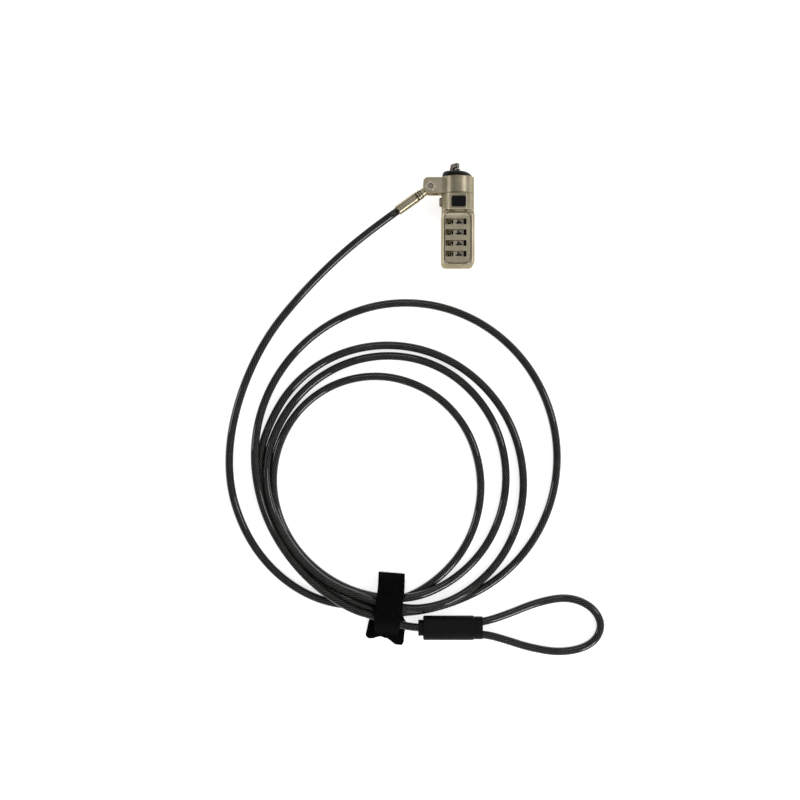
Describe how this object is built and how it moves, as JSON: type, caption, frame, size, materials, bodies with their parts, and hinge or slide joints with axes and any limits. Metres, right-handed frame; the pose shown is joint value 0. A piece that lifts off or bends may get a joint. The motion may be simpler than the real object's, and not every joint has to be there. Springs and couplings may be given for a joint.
{
  "type": "laptop cable lock",
  "caption": "Combination cable lock: T-bar nose, swivel collar, number dials, push button and coiled vinyl-covered steel cable with an end loop and a tie strap.",
  "frame": {"origin": "on the flat back of the lock body, under the lock's axis", "axes": "+Y along the lock towards its T-bar, +Z out of the back towards the dials, +X to the right when the dials face the viewer and the T-bar points up"},
  "size_m": [0.1891, 0.244, 0.0179],
  "materials": {
    "satin_nickel": "satin nickel plate on zinc, warm tone",
    "steel": "turned, satin",
    "spring_steel": "drawn wire",
    "brass": "machined",
    "dial_metal": "satin, dark digits",
    "black_inlay": "matt black",
    "black_plastic": "moulded, fine grain",
    "cable_jacket": "clear-smoke vinyl over twisted steel strand",
    "sleeve_plastic": "moulded, matt",
    "crimp_aluminium": "pressed",
    "strap_fabric": "hook-and-loop webbing"
  },
  "bodies": {
    "cable": {"eye_fitting": "satin_nickel", "cable_ferrule": "satin_nickel", "cable_lead": "cable_jacket", "cable_coil": "cable_jacket", "cable_tail": "cable_jacket", "cable_end_loop": "cable_jacket", "loop_sleeve": "sleeve_plastic", "loop_crimp": "crimp_aluminium", "tie_strap": "strap_fabric"},
    "collar": {"swivel_collar": "satin_nickel", "rivet": "steel"},
    "lock": {"housing": "satin_nickel", "front_plate": "satin_nickel", "index_marks": "black_inlay", "end_plug": "satin_nickel", "detent_strip": "spring_steel", "code_spindle": "brass", "spindle_spring": "spring_steel", "button_spring": "spring_steel", "nose_cap": "black_plastic", "guide_pins": "steel"},
    "button": {"push_button": "black_plastic"},
    "tbar": {"t_bar": "steel"},
    "reset": {"reset_screw": "steel"},
    "dial_1": {"dial_wheel_1": "dial_metal", "clutch_ring_1": "brass"},
    "dial_2": {"dial_wheel_2": "dial_metal", "clutch_ring_2": "brass"},
    "dial_3": {"dial_wheel_3": "dial_metal", "clutch_ring_3": "brass"},
    "dial_4": {"dial_wheel_4": "dial_metal", "clutch_ring_4": "brass"}
  },
  "joints": [
    {"name": "cable_hinge", "type": "hinge", "parent": "cable", "child": "collar", "pos_m": [-0.01345, 0.0255, 0.0085], "axis": [0, 0, 1], "range_deg": [-54, 125]},
    {"name": "collar_swivel", "type": "hinge", "parent": "collar", "child": "lock", "pos_m": [0, 0.026, 0.0085], "axis": [0, 1, 0], "continuous": true},
    {"name": "button_press", "type": "slide", "parent": "lock", "child": "button", "axis": [0, 0, -1], "range_m": [0, 0.0016], "stiffness_N_per_m": 600, "springref_m": -0.001, "deforming": ["button_spring"]},
    {"name": "t_bar_turn", "type": "hinge", "parent": "lock", "child": "tbar", "pos_m": [-0.0014, 0.03, 0.0085], "axis": [0, 1, 0], "range_deg": [0, 90]},
    {"name": "reset_turn", "type": "hinge", "parent": "lock", "child": "reset", "pos_m": [0, -0.0128, 0.0085], "axis": [0, 1, 0], "range_deg": [0, 90]},
    {"name": "dial_1_turn", "type": "hinge", "parent": "lock", "child": "dial_1", "pos_m": [0, 0.00755, 0.0085], "axis": [0, 1, 0], "continuous": true},
    {"name": "dial_2_turn", "type": "hinge", "parent": "lock", "child": "dial_2", "pos_m": [0, 0.0023, 0.0085], "axis": [0, 1, 0], "continuous": true},
    {"name": "dial_3_turn", "type": "hinge", "parent": "lock", "child": "dial_3", "pos_m": [0, -0.00295, 0.0085], "axis": [0, 1, 0], "continuous": true},
    {"name": "dial_4_turn", "type": "hinge", "parent": "lock", "child": "dial_4", "pos_m": [0, -0.0082, 0.0085], "axis": [0, 1, 0], "continuous": true}
  ],
  "couplings": [
    {"joint": "t_bar_turn", "follows": "button_press", "rad_per_m": 981.75}
  ]
}
